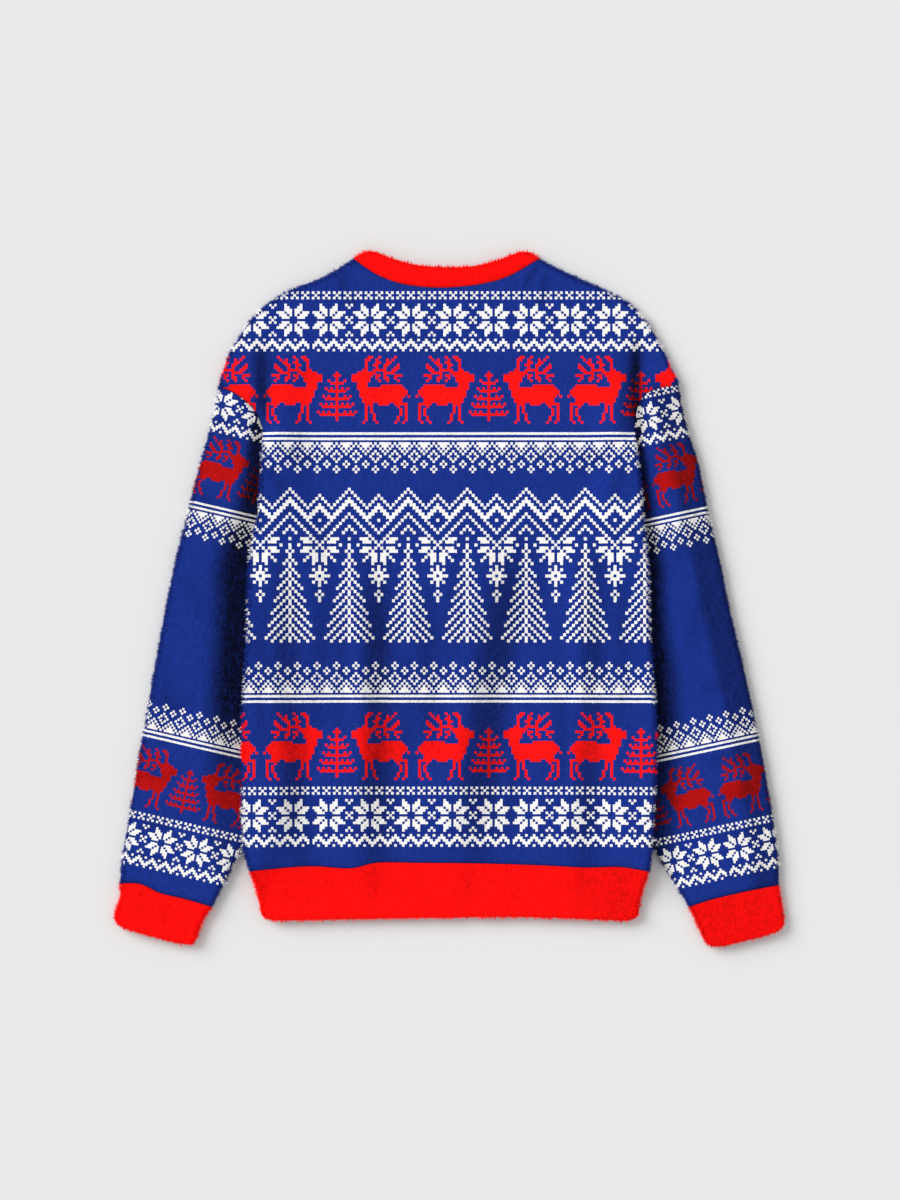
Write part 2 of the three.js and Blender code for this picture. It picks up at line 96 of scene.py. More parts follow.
# The bands: the height of the top on the garment, the size of a stitch along and down, after how
# many stitches the band repeats, and its chart.
deer_top, deer_row, fir_start = 255.2, 2.737, 6
tree_top, tree_row = 116.7, 3.253
print_bands = {
    "checks": (323.1, 2.775, 2.78, 4, check_rows),
    "stars": (310.1, 2.71, 2.638, 16, star_rows),
    "zigzags": (273.3, 2.699, 2.654, 6, zigzag_rows),
    "deer": (deer_top, 2.8, deer_row, 200, deer_rows),
    "firs": (deer_top - fir_start * deer_row, 2.8, deer_row, 57, fir_rows),
    "peaks": (164.5, 2.554, 2.706, 8, peak_rows),
    "tree_tops": (tree_top, 3.1, tree_row, 20, tree_top_rows),
    "tree_feet": (tree_top - len(tree_top_rows) * tree_row, 3.1, tree_row, 20, tree_foot_rows),
}


def calc(tree, operation, *inputs):
    made = tree.nodes.new("ShaderNodeMath")
    made.operation = operation
    for socket, value in zip(made.inputs, inputs):
        if isinstance(value, (int, float)):
            socket.default_value = value
        else:
            tree.links.new(value, socket)
    return made.outputs[0]


def blend(tree, share, first, second):
    made = tree.nodes.new("ShaderNodeMix")
    made.data_type = "RGBA"
    for socket, value in ((made.inputs[0], share), (made.inputs[6], first), (made.inputs[7], second)):
        if isinstance(value, (int, float)):
            socket.default_value = value
        elif isinstance(value, tuple):
            socket.default_value = (*value, 1)
        else:
            tree.links.new(value, socket)
    return made.outputs[2]


def chart(tree, across, down, stitch, row, repeat, rows):
    """Whether a stitch of a charted band is in colour, at a distance across from a middle line
    and down from the band's top. Each row of the chart is kept as the binary digits of a number."""
    turned = calc(tree, "PINGPONG", calc(tree, "DIVIDE", across, stitch), repeat / 2)
    column = calc(tree, "FLOOR", calc(tree, "ADD", turned, 0.5))
    line = calc(tree, "FLOOR", calc(tree, "DIVIDE", down, row))
    ramp = tree.nodes.new("ShaderNodeValToRGB")
    ramp.color_ramp.interpolation = "CONSTANT"
    stops = ramp.color_ramp.elements
    stops.remove(stops[1])
    width = max(len(text) for text in rows)
    for i, text in enumerate(rows):
        stop = stops.new(i / len(rows)) if i else stops[0]
        digits = sum(2.0 ** -(k + 1) for k, letter in enumerate(text) if letter == "X")
        digits += 2.0 ** -(width + 1)
        stop.color = (digits, digits, digits, 1)
    tree.links.new(calc(tree, "DIVIDE", calc(tree, "ADD", line, 0.5), len(rows)), ramp.inputs[0])
    digits = tree.nodes.new("ShaderNodeSeparateColor")
    tree.links.new(ramp.outputs[0], digits.inputs[0])
    shifted = calc(tree, "MULTIPLY", digits.outputs[0], calc(tree, "POWER", 2, calc(tree, "ADD", column, 1)))
    digit = calc(tree, "MODULO", calc(tree, "FLOOR", shifted), 2)
    from_middle = calc(tree, "ABSOLUTE", calc(tree, "SUBTRACT", line, (len(rows) - 1) / 2))
    inside = calc(tree, "LESS_THAN", from_middle, len(rows) / 2)
    reached = calc(tree, "LESS_THAN", column, width - 0.5)
    return calc(tree, "MULTIPLY", digit, calc(tree, "MULTIPLY", inside, reached))


def noise(tree, scale, detail=3.0, distortion=0.0, turn=0.0):
    """Noise over the piece, with its own scale along each axis, in cycles per metre."""
    place = tree.nodes.new("ShaderNodeTexCoord")
    sized = tree.nodes.new("ShaderNodeMapping")
    sized.vector_type = "TEXTURE"
    sized.inputs["Scale"].default_value = tuple(1 / each for each in scale)
    sized.inputs["Rotation"].default_value = (0, 0, np.radians(turn))
    made = tree.nodes.new("ShaderNodeTexNoise")
    made.inputs["Scale"].default_value = 1.0
    made.inputs["Detail"].default_value = detail
    made.inputs["Distortion"].default_value = distortion
    tree.links.new(place.outputs["Object"], sized.inputs["Vector"])
    tree.links.new(sized.outputs["Vector"], made.inputs["Vector"])
    return made


def plush(tree, colour, rim_highlight_colour, streaks, turn, contrast):
    """Finishes a pile fabric: streaks of lying fibres, soft clumps, a sheen, a painted rim highlight on the
    strand tips at the edges, and painted shade in the troughs and other shaded places. The strand map gives
    the last two."""
    streak = noise(tree, streaks, 4.0, 0.6, turn).outputs["Fac"]
    clump = noise(tree, (190, 130, 190), 3.0, 0.3).outputs["Fac"]
    fibres = calc(tree, "SUBTRACT", calc(tree, "ADD", calc(tree, "MULTIPLY", clump, 0.35), streak), 0.675)
    # The strand map holds the painted rim highlight in x and the painted shade in y.
    strand = tree.nodes.new("ShaderNodeUVMap")
    strand.uv_map = "strand"
    painted_light_parts = tree.nodes.new("ShaderNodeSeparateXYZ")
    tree.links.new(strand.outputs[0], painted_light_parts.inputs[0])
    # The edges of the painted shade follow the lying fibres, and white pile stays lighter in the painted
    # shade.
    deep = calc(tree, "MULTIPLY", painted_light_parts.outputs[1], calc(tree, "SUBTRACT", 1.0, fibres))
    own = tree.nodes.new("ShaderNodeSeparateColor")
    tree.links.new(colour, own.inputs[0])
    kept = calc(tree, "SUBTRACT", 1.0, calc(tree, "MULTIPLY", own.outputs[1], 0.55))
    light = calc(tree, "MAXIMUM", calc(tree, "SUBTRACT", 1.0, calc(tree, "MULTIPLY", deep, kept)), 0.05)
    shade = calc(tree, "MULTIPLY", calc(tree, "ADD", calc(tree, "MULTIPLY", fibres, contrast), 1.0), light)
    shaded = tree.nodes.new("ShaderNodeVectorMath")
    shaded.operation = "SCALE"
    tree.links.new(colour, shaded.inputs[0])
    tree.links.new(shade, shaded.inputs["Scale"])
    # Strand tips at folded edges are blended towards the painted rim highlight colour.
    final = blend(tree, calc(tree, "POWER", painted_light_parts.outputs[0], 1.1), shaded.outputs[0], rim_highlight_colour)
    height = calc(tree, "ADD", streak, calc(tree, "MULTIPLY", clump, 1.4))
    bump = tree.nodes.new("ShaderNodeBump")
    bump.inputs["Strength"].default_value = 0.55
    bump.inputs["Distance"].default_value = 0.0016
    tree.links.new(height, bump.inputs["Height"])
    surface = tree.nodes["Principled BSDF"]
    surface.inputs["Roughness"].default_value = 0.92
    surface.inputs["Specular IOR Level"].default_value = 0.08
    surface.inputs["Sheen Weight"].default_value = 0.02
    surface.inputs["Sheen Roughness"].default_value = 0.45
    tree.links.new(final, surface.inputs["Base Color"])
    tree.links.new(bump.outputs[0], surface.inputs["Normal"])


def printed_fleece(name, upper_tile, lower_tile, peak_axis, with_trees, deer_red, turn):
    """Dark blue plush with the print. A piece's print map says which place of the print it shows."""
    material = bpy.data.materials.new(name)
    material.use_nodes = True
    tree = material.node_tree
    place = tree.nodes.new("ShaderNodeUVMap")
    place.uv_map = "print"
    parts = tree.nodes.new("ShaderNodeSeparateXYZ")
    tree.links.new(place.outputs[0], parts.inputs[0])
    stray = tree.nodes.new("ShaderNodeSeparateColor")
    tree.links.new(noise(tree, (900, 700, 900), 2.0).outputs["Color"], stray.inputs[0])

    def coordinate(axis, reach):
        wander = calc(tree, "MULTIPLY", calc(tree, "SUBTRACT", stray.outputs[axis], 0.5), reach)
        return calc(tree, "ADD", calc(tree, "MULTIPLY", parts.outputs[axis], 1000), wander)

    def band(name, across, level):
        top, stitch, row, repeat, rows = print_bands[name]
        return chart(tree, across, calc(tree, "SUBTRACT", top, level), stitch, row, repeat, rows)

    x = coordinate(0, 0.7)
    y = coordinate(1, 0.8)
    # The upper bands come again below the middle: some of them moved down, others mirrored.
    middle_y = 32.9
    stars_drop = 520.6
    deer_drop = 374.6
    below = calc(tree, "LESS_THAN", y, middle_y)
    star_y = calc(tree, "ADD", y, calc(tree, "MULTIPLY", below, stars_drop))
    deer_y = calc(tree, "ADD", y, calc(tree, "MULTIPLY", below, deer_drop))
    line_y = calc(tree, "ADD", calc(tree, "ABSOLUTE", calc(tree, "SUBTRACT", y, middle_y)), middle_y)

    # Five stars fill a tile of the print, with a narrower gap where two tiles join.
    tile = 210.5
    tile_start = calc(tree, "ADD", calc(tree, "MULTIPLY", below, lower_tile - upper_tile), upper_tile)
    in_tile = calc(tree, "FLOORED_MODULO", calc(tree, "SUBTRACT", x, tile_start), tile)
    off_middle = calc(tree, "ABSOLUTE", calc(tree, "SUBTRACT", in_tile, tile / 2))
    off_joins = calc(tree, "LESS_THAN", off_middle, tile / 2 - 1.8)
    stars = band("stars", calc(tree, "SUBTRACT", in_tile, 18.6), star_y)
    zigzags = band("zigzags", calc(tree, "SUBTRACT", in_tile, 40.3), star_y)
    # Two reindeer face each fir, their noses six stitches from its middle.
    fir_x = calc(tree, "ADD", x, 118.3)
    deer_stitch = print_bands["deer"][1]
    deer_x = calc(tree, "SUBTRACT", calc(tree, "PINGPONG", fir_x, 28.5 * deer_stitch), 6 * deer_stitch)
    past_nose = calc(tree, "GREATER_THAN", deer_x, -0.5 * deer_stitch)
    red = [band("firs", fir_x, deer_y), calc(tree, "MULTIPLY", band("deer", deer_x, deer_y), past_nose)]
    white = [
        band("checks", fir_x, star_y),
        calc(tree, "MULTIPLY", stars, off_joins),
        calc(tree, "MULTIPLY", zigzags, off_joins),
        band("peaks", calc(tree, "SUBTRACT", x, peak_axis), line_y),
    ]
    if with_trees:
        tree_x = calc(tree, "ADD", x, 43.4)
        white += [band("tree_tops", tree_x, y), band("tree_feet", tree_x, y)]
    for line_middle in (173.65, 168.05):
        off_line = calc(tree, "ABSOLUTE", calc(tree, "SUBTRACT", line_y, line_middle))
        white.append(calc(tree, "LESS_THAN", off_line, 1.3))

    def any_of(charts):
        found = charts[0]
        for other in charts[1:]:
            found = calc(tree, "MAXIMUM", found, other)
        return found

    cloth = (0.0085, 0.0290, 0.240)
    snow = (0.90, 0.89, 0.875)
    colour = blend(tree, any_of(white), cloth, snow)
    colour = blend(tree, any_of(red), colour, deer_red)
    # The near-white colour is the painted rim highlight on strand tips at the edges.
    plush(tree, colour, (0.95, 0.95, 0.97), (560, 240, 560), turn, 0.6)
    return material


# The lines the cloth is cut and folded along, in millimetres, outwards from the middle line, with
# a column for each side of the body: its folded sides, armholes, shoulders, and how far a sleeve
# lies in under it.
side_rows = [
    (178.5, 196, 194.4), (124.9, 198.6, 200.7), (91.2, 200.4, 203), (62, 207.4, 206.2),
    (35, 210.9, 208.6), (-34.9, 212.8, 210.7), (-110.6, 217, 216), (-161, 218.1, 217),
    (-211.5, 217.9, 215), (-258.8, 216.6, 212.6), (-286, 209.8, 209.6),
]
armhole_points = {
    "left": [(242.7, 223.6), (226.6, 216.8), (211.6, 205.6), (202.4, 194), (196, 178.5)],
    "right": [(240.7, 224.7), (220.7, 221.4), (205, 214), (198, 202), (194.4, 178.5)],
}
shoulder_rows = [
    (231, 241.2, 239.8), (242.6, 237, 233), (259.9, 230.7, 225.6), (275.1, 221.2, 217.5),
    (295.1, 207.6, 204.9), (310.9, 190.8, 189.2), (323.9, 169, 166), (336.1, 138.2, 138.7),
    (345.6, 119.7, 117.7), (357.6, 101.4, 94.6),
]
tuck_rows = [
    (178.5, 0), (158, -0.9), (141, -0.9), (122, 5), (96, 16), (61, 31), (25, 41), (-43, 40),
    (-127, 34), (-200, 18), (-258.8, -0.6),
]
sleeve_rows = [
    (179.5, 251.7, 250.0), (141.7, 262.2, 261.7), (91.2, 275.2, 272.2), (40.8, 287.9, 284.2),
    (-9.7, 298.5, 294.4), (-85.3, 312.2, 312.2), (-161, 325.6, 328.0), (-236.7, 337.9, 341.0),
    (-272, 344.0, 345.6),
]
cuff_lines = {
    "left": {
        "seam": [(346.4, -299), (325.3, -299.8), (304.3, -309.4), (280.1, -315.1), (249.6, -323.9)],
        "outer": [(346.4, -299), (346.4, -312), (351.7, -330)],
        "inner": [(249.6, -323.9), (259.3, -339), (265, -355)],
        "end": [(351.7, -330), (350.6, -339.6), (341, -346.3), (310.7, -355.6), (281, -362.6),
                (270, -362.4), (265, -355)],
    },
    "right": {
        "seam": [(346.1, -301), (325, -305), (304, -309.4), (278, -315.6), (251.7, -323.9)],
        "outer": [(346.1, -301), (348.6, -315), (351.7, -334)],
        "inner": [(251.7, -323.9), (259, -339), (266, -355)],
        "end": [(351.7, -334), (350.4, -345), (340, -351.4), (312, -359), (287, -364.9),
                (273, -363.8), (266, -355)],
    },
}
hem_lines = {
    "seam": [(-209.8, -286), (-184.5, -283.8), (-144.5, -281.2), (-102, -283.2), (-78, -277.8),
             (-30, -277.6), (40, -278.4), (90, -280), (120, -281.4), (145, -282.6), (179.2, -281.9),
             (209.6, -286)],
    "left": [(-209.8, -286), (-203.6, -304), (-199, -323)],
    "right": [(209.6, -286), (203.9, -304), (199.6, -323)],
    "edge": [(-199, -323), (-196.6, -333), (-188, -337.3), (-166, -337.8), (-70, -336.2),
             (10, -335), (60, -334.4), (110, -335.2), (166, -337.6), (188, -338), (197, -334),
             (199.6, -323)],
}
neck_lines = {
    "back_seam": [(-101.4, 357.6), (-76.5, 340.9), (-48.9, 330.9), (-7.1, 327), (38.4, 331.9),
                  (62.5, 339.3), (94.6, 357.6)],
    "back_edge": [(-89.6, 364.6), (-78.8, 364.8), (-62.5, 358.6), (-37.9, 351.6), (-7.1, 348.7),
                  (22.2, 349.5), (46.3, 354.6), (67.3, 362.4), (76, 364.8), (84.6, 364.6)],
    "front_seam": [(-101.4, 357.6), (-92, 330), (-77, 303), (-48, 278), (-4, 268), (40, 278),
                   (70, 303), (85, 330), (94.6, 357.6)],
    "front_edge": [(-89.6, 364.6), (-73, 336), (-60, 315), (-38, 298), (-4, 290), (31, 298),
                   (53, 315), (66, 336), (84.6, 364.6)],
}
sides = {"left": -1, "right": 1}
armpit_y = 178.5
underarm_y = 25
half_gap = 0.15


def smooth(t):
    t = np.clip(t, 0, 1)
    return t * t * (3 - 2 * t)


def line_through(points, steps=14):
    """A smooth line through plan points, as points close together."""
    p = np.array(points, float)
    p = np.vstack([2 * p[0] - p[1], p, 2 * p[-1] - p[-2]])
    t = np.linspace(0, 1, steps, endpoint=False)[:, None]
    parts = []
    for a, b, c, d in zip(p, p[1:], p[2:], p[3:]):
        before, here, after = (np.linalg.norm(e) ** 0.5 for e in (b - a, c - b, d - c))
        start = here * ((b - a) / before - (c - a) / (before + here) + (c - b) / here)
        stop = here * ((c - b) / here - (d - b) / (here + after) + (d - c) / after)
        parts.append(b + start * t + (3 * (c - b) - 2 * start - stop) * t**2
                     + (2 * (b - c) + start + stop) * t**3)
    return np.vstack([*parts, p[-2:-1]])


def along(line):
    return np.r_[0, np.cumsum(np.hypot(*np.diff(line, axis=0).T))]


def walk(line, shares):
    lengths = along(line)
    at = np.asarray(shares) * lengths[-1]
    return np.stack([np.interp(at, lengths, line[:, k]) for k in (0, 1)], axis=1)


def shares_of(line, step, start=(0,), end=(0,)):
    """Shares of a line's length, given steps in from its ends and even ones between them."""
    length = along(line)[-1]
    first, last = start[-1], length - end[-1]
    count = max(round((last - first) / step), 1)
    even = np.linspace(first, last, count + 1)
    return np.r_[start[:-1], even, [length - e for e in end[-2::-1]]] / length


def stepped(line, start, end):
    return walk(line, shares_of(line, cloth_step, start, end))


def shifted(line, distance):
    """The line moved to the left of its direction."""
    run = np.gradient(line, axis=0)
    run /= np.linalg.norm(run, axis=1, keepdims=True)
    return line + distance * np.stack([-run[:, 1], run[:, 0]], axis=1)


def mirrored(line, sign):
    return line * [sign, 1]


def across_at(line, y):
    return np.interp(y, line[::-1, 1], line[::-1, 0])


def nearest(line, p):
    """For each plan point: its distance from the line, its offset, its share along, the line's run."""
    run = np.diff(line, axis=0)
    rel = p[:, None] - line[:-1]
    t = np.clip((rel * run).sum(2) / (run * run).sum(1), 0, 1)
    off = rel - t[..., None] * run
    distance = np.hypot(off[..., 0], off[..., 1])
    i = distance.argmin(1)
    every = np.arange(len(p))
    return distance[every, i], off[every, i], (i + t[every, i]) / len(run), run[i]


def plan_of(side):
    column = 1 if side == "left" else 2
    tip = armhole_points[side][0]
    seam = cuff_lines[side]["seam"]
    body_side = line_through([(row[column], row[0]) for row in side_rows])
    tucked = [(across_at(body_side, y) - depth, y) for y, depth in tuck_rows]
    shoulder = [tip, *[(row[column], row[0]) for row in shoulder_rows]]
    outer = [tip, *[(row[column], row[0]) for row in sleeve_rows], seam[0]]
    return {
        "side": body_side,
        "armhole": line_through(armhole_points[side]),
        "shoulder": line_through(shoulder),
        "hidden": line_through([point for point in tucked if point[1] >= underarm_y]),
        "inner": line_through([*[point for point in tucked if point[1] <= underarm_y], seam[-1]]),
        "outer": line_through(outer),
    }


plans = {side: plan_of(side) for side in sides}


# The body: a back and a front panel of printed plush fleece, cut flat and sewn to each other at
# the shoulders, to the sleeves at the armholes and to the ribs. Laid with its back up, the back
# panel lies on the front one, and both are lifted where a sleeve is tucked in.

# Folded edges turn with roll_radius, and the cloth's points come closer there and at seams. Two
# layers are twice laid_half high, or less at an armpit, where a sleeve goes under them.
roll_radius = 5.0
roll_steps = (0, 0.35, 0.9, 1.7, 2.7, 3.8, 5)
seam_steps = (0, 1.5)
cloth_step = 3.7
cloth_wall = 1.7
pile_room = 0.3
laid_half = 4.95
tucked_half = 3.7
tucked_reach = 38
# The lift starts this far in from the hidden edge of a sleeve, and is full after its run. The
# armhole's seam holds it down nearby, down to the armpit, and above lift_top there is none.
body_lift = 8.0
lift_reach = 54
lift_run = 36
lift_top = 266.7
lift_fade = 76.7
seam_hold = 18
armpit_run = 32
# The strands of the pile, and the tufts they have at a folded edge, with wider tips where they carry the
# painted rim highlight.
strand_length = (1.4, 2.2)
strand_width = (0.14, 0.22)
tuft_size = 3.3
tuft_height = 2.6
tuft_width = 0.46
tip_width = 0.3

# The six long folds of the back and its smaller creases, and after them those of the front. Each
# goes through three plan points and has a depth and a width. A negative depth is a ridge.
back_folds = [
    (-173, 78, -168, -110, -150, -345, 2.2, 15),
    (-78, 70, -75, -106, -78, -345, 3.3, 16),
    (-24, 30, -21, -75, -16, -190, 1.3, 13),
    (80, 84, 48, -80, 22, -335, 3.1, 21),
    (92, 40, 90, -10, 84, -70, 1.5, 11),
    (145, 100, 150, -96, 143, -345, 2.3, 14),
]
back_creases = [
    (-198, 276, -197, 226, -195, 180, 2.4, 8),
    (195, 276, 195, 228, 194, 180, 2.6, 8),
    (-118, 340, -106, 320, -97, 298, 0.9, 6),
    (110, 338, 101, 318, 90, 300, 0.8, 5.5),
    (-190, 171, -162, 152, -126, 141, 0.9, 9),
    (-193, 150, -176, 118, -163, 70, 1.0, 8),
    (187, 172, 158, 150, 131, 133, 0.9, 10),
    (191, 149, 176, 120, 168, 86, 0.9, 7),
    (-208, 262, -172, 240, -124, 231, 0.7, 11),
    (198, 268, 170, 243, 118, 226, 0.6, 12),
    (-123, 24, -113, -66, -120, -171, 0.8, 9),
    (-48, -38, -43, -118, -53, -232, 0.7, 8),
    (13, 71, 5, -18, 11, -97, 0.6, 9),
    (63, -118, 69, -187, 58, -266, 0.8, 8),
    (113, -37, 120, -143, 109, -244, 0.7, 9),
    (178, 47, 184, -58, 175, -182, 0.8, 8),
    (-197, 22, -199, -77, -191, -203, 0.8, 8),
    (-99, 52, -96, -92, -99, -246, -0.7, 9),
    (101, 62, 76, -92, 48, -262, -0.7, 10),
    (22, 20, 12, -120, -4, -240, -0.5, 9),
    (-146, 60, -140, -90, -128, -262, -0.5, 10),
    (126, 70, 131, -90, 122, -260, -0.5, 9),
    (-60, 280, -30, 268, 8, 272, 0.35, 11),
    (70, 262, 48, 214, 52, 168, 0.4, 12),
    (-84, 232, -70, 196, -78, 150, 0.4, 12),
]
# Places where painted shade darkens the pile of the back: three plan points, share and width.
back_painted_shades = [
    (-197, 282, -197, 226, -195, 172, 0.45, 7),
    (196, 292, 196, 228, 195, 160, 0.92, 5.5),
    (186, 250, 184, 214, 186, 182, 0.25, 9),
    (97, 356, 86, 341, 74, 322, 0.34, 3.5),
    (108, 346, 99, 333, 96, 318, 0.28, 3),
    (-104, 350, -110, 336, -122, 322, 0.2, 4),
]
front_creases = [
    (-150, 80, -146, -70, -152, -240, 0.9, 12),
    (-64, 120, -58, -40, -66, -230, 1.1, 13),
    (34, 60, 40, -90, 30, -262, 1.0, 12),
    (112, 130, 118, -30, 108, -214, 0.9, 11),
    (-182, 160, -150, 138, -112, 130, 0.7, 9),
    (180, 158, 146, 140, 108, 126, 0.7, 9),
    (-30, 200, 6, 186, 44, 196, 0.5, 12),
]


def crease_at(rows, p, ends=0.35):
    total = np.zeros(len(p))
    for x1, y1, x2, y2, x3, y3, depth, width in rows:
        distance, _, share, _ = nearest(line_through([(x1, y1), (x2, y2), (x3, y3)], 6), p)
        fade = smooth(share / ends) * smooth((1 - share) / ends)
        total += depth * fade * np.exp(-((distance / width) ** 2))
    return total


def fold_at(p):
    return np.max([crease_at([row], p, 0.3) for row in back_folds], axis=0)


def seam_dip(lines, p):
    """The cloth is drawn down where it is sewn."""
    near = np.min([nearest(line, p)[0] for line in lines], axis=0)
    return 0.9 * np.exp(-((near / 2.4) ** 2))


def turn_at(edges, centre, p):
    """How far the cloth has turned over, from 0 on the flat to 1 on a folded edge, and the way in."""
    found = [nearest(edge, p) for edge in edges]
    which = np.argmin([each[0] for each in found], axis=0)
    every = np.arange(len(p))
    distance, off, _, run = (np.stack(part)[which, every] for part in zip(*found))
    beside = np.stack([run[:, 1], -run[:, 0]], axis=1)
    beside *= np.where((beside * (centre - p)).sum(1) < 0, -1, 1)[:, None]
    inward = np.where((distance < 0.3)[:, None], beside, off)
    inward /= np.linalg.norm(inward, axis=1, keepdims=True)
    return 1 - np.minimum(distance, roll_radius) / roll_radius, inward


def lift_at(p):
    """How far the body stands off the surface over a tucked sleeve."""
    lift = np.zeros(len(p))
    for side, sign in sides.items():
        here = p[:, 0] * sign >= 0
        q = mirrored(p[here], sign)
        plan = plans[side]
        sleeve_edge = across_at(np.vstack([plan["hidden"], plan["inner"]]), q[:, 1])
        from_seam = smooth(nearest(plan["armhole"], q)[0] / seam_hold)
        down = smooth((armpit_y - q[:, 1]) / armpit_run)
        rise = from_seam + (1 - from_seam) * down
        crease = smooth((lift_top - q[:, 1]) / lift_fade)
        lift[here] = body_lift * rise * crease * smooth((q[:, 0] - sleeve_edge + lift_reach) / lift_run)
    return lift


def half_height(distance):
    return tucked_half + (laid_half - tucked_half) * smooth(distance / tucked_reach)


def patch(left, right, bottom, top, us, vs, top_share=None):
    """A grid of plan points between four lines, rows from bottom to top."""
    share = us if top_share is None else top_share
    vs = vs[:, None]
    low = bottom - (bottom[0] + (bottom[-1] - bottom[0]) * vs)
    high = top - (top[0] + (top[-1] - top[0]) * vs)
    grid = left[:, None] * (1 - vs) + right[:, None] * vs
    grid = grid + (1 - us)[:, None, None] * low + share[:, None, None] * high
    grid[:, 0], grid[:, -1] = left, right
    grid[0], grid[-1] = bottom, top
    return grid


def skin(grid, up, form, least=0.0):
    """The outer face of one layer of cloth over a plan grid, and where the print lies on it. The
    last value is how far it keeps from the middle between two layers."""
    p = grid.reshape(-1, 2)
    cosine, inward, middle, half, trough, deep = form(p)
    sine = np.sqrt(np.maximum(1 - cosine**2, 0))
    plan = p + pile_room * cosine[:, None] * inward
    height = middle + up * np.maximum((half - pile_room - trough) * sine, least)
    past_edge = roll_radius * (np.arcsin(np.minimum(cosine, 1)) - cosine)
    shown = p - past_edge[:, None] * inward
    shape = grid.shape[:2]
    return {
        "at": np.column_stack([plan, height]).reshape(*shape, 3),
        "print": shown.reshape(*shape, 2),
        "turn": cosine.reshape(shape),
        "deep": np.clip(deep, 0, 0.92).reshape(shape),
        "up": up,
    }


def deepened(trough):
    """Painted shade: the pile is coloured darker at the foot of a trough."""
    return 1 - np.exp(-0.25 * np.maximum(trough, 0))


def sewn(name, layers, material, print_of=lambda p: p):
    """A piece of cloth from the outer faces of its layers, which share the points of folded edges."""
    bm = bmesh.new()
    shown = bm.verts.layers.float_vector.new("shown")
    for layer in layers:
        rows, columns, _ = layer["at"].shape
        made = bmesh.ops.create_grid(bm, x_segments=columns - 1, y_segments=rows - 1, size=1)["verts"]
        places = layer["at"].reshape(-1, 3) / 1000
        prints = print_of(layer["print"].reshape(-1, 2)) / 1000
        for vert, place, at, deep in zip(made, places.tolist(), prints.tolist(), layer["deep"].ravel()):
            vert.co = place
            vert[shown] = (*at, deep)
        faces = list({face for vert in made for face in vert.link_faces})
        for face in faces:
            face.normal_update()
        if sum(face.normal.z for face in faces) * layer["up"] < 0:
            bmesh.ops.reverse_faces(bm, faces=faces)
    bmesh.ops.remove_doubles(bm, verts=bm.verts, dist=1e-5)
    prints = bm.loops.layers.uv.new("print")
    strand = bm.loops.layers.uv.new("strand")
    for face in bm.faces:
        face.smooth = True
        for loop in face.loops:
            loop[prints].uv = loop.vert[shown].xy
            # The strand map's y carries the painted shade; its x, the painted rim highlight, stays 0 on the
            # cloth.
            loop[strand].uv = (0, loop.vert[shown].z)
    bm.verts.layers.float_vector.remove(shown)
    mesh = bpy.data.meshes.new(name)
    bm.to_mesh(mesh)
    bm.free()
    piece = bpy.data.objects.new(name, mesh)
    bpy.context.collection.objects.link(piece)
    mesh.materials.append(material)
    wall = piece.modifiers.new("wall", "SOLIDIFY")
    wall.thickness = cloth_wall / 1000
    wall.offset = -1
    wall.use_rim = True
    return piece


def scattered(layer, rng, flat_density, edge_density):
    """Places for strands on a layer, with their places in the print, painted shade, normals and bends. The
    densities are strands for each square millimetre, on the flat and at folded edges."""
    at, turn = layer["at"], layer["turn"]
    a, b, c, d = at[:-1, :-1], at[:-1, 1:], at[1:, 1:], at[1:, :-1]
    normal = np.cross(c - a, d - b)
    area = np.linalg.norm(normal, axis=2) / 2
    normal /= 2 * area[..., None] + 1e-9
    if (normal[..., 2].sum() * layer["up"]) < 0:
        normal = -normal
    bend = (turn[:-1, :-1] + turn[1:, 1:]) / 2
    wanted = area * (flat_density + (edge_density - flat_density) * smooth(bend * 2.5))
    count = np.floor(wanted + rng.random(wanted.shape)).astype(int)
    i, j = np.nonzero(count)
    times = count[i, j]
    i, j = np.repeat(i, times), np.repeat(j, times)
    u, v = rng.random((2, len(i), 1))
    found = []
    for source in (at, layer["print"], layer["deep"][..., None]):
        low = source[i, j] * (1 - u) + source[i, j + 1] * u
        high = source[i + 1, j] * (1 - u) + source[i + 1, j + 1] * u
        found.append(low * (1 - v) + high * v)
    return [*found, normal[i, j], bend[i, j]]


def bare_strands(name, count):
    """A piece with this many copies of one strand, a cone with three sides, and its points."""
    bm = bmesh.new()
    bmesh.ops.create_cone(bm, cap_ends=True, segments=3, radius1=1, radius2=0, depth=2)
    bm.verts.ensure_lookup_table()
    points = [vert.co.copy() for vert in bm.verts]
    bm.loops.layers.uv.new("print")
    bm.loops.layers.uv.new("strand")
    mesh = bpy.data.meshes.new(name)
    bm.to_mesh(mesh)
    bm.free()
    piece = bpy.data.objects.new(name, mesh)
    bpy.context.collection.objects.link(piece)
    copies = piece.modifiers.new("copies", "ARRAY")
    copies.count = count
    copies.use_relative_offset = False
    graph = bpy.context.evaluated_depsgraph_get()
    mesh = bpy.data.meshes.new_from_object(piece.evaluated_get(graph))
    piece.modifiers.clear()
    piece.data = mesh
    mesh.name = name
    return piece, points


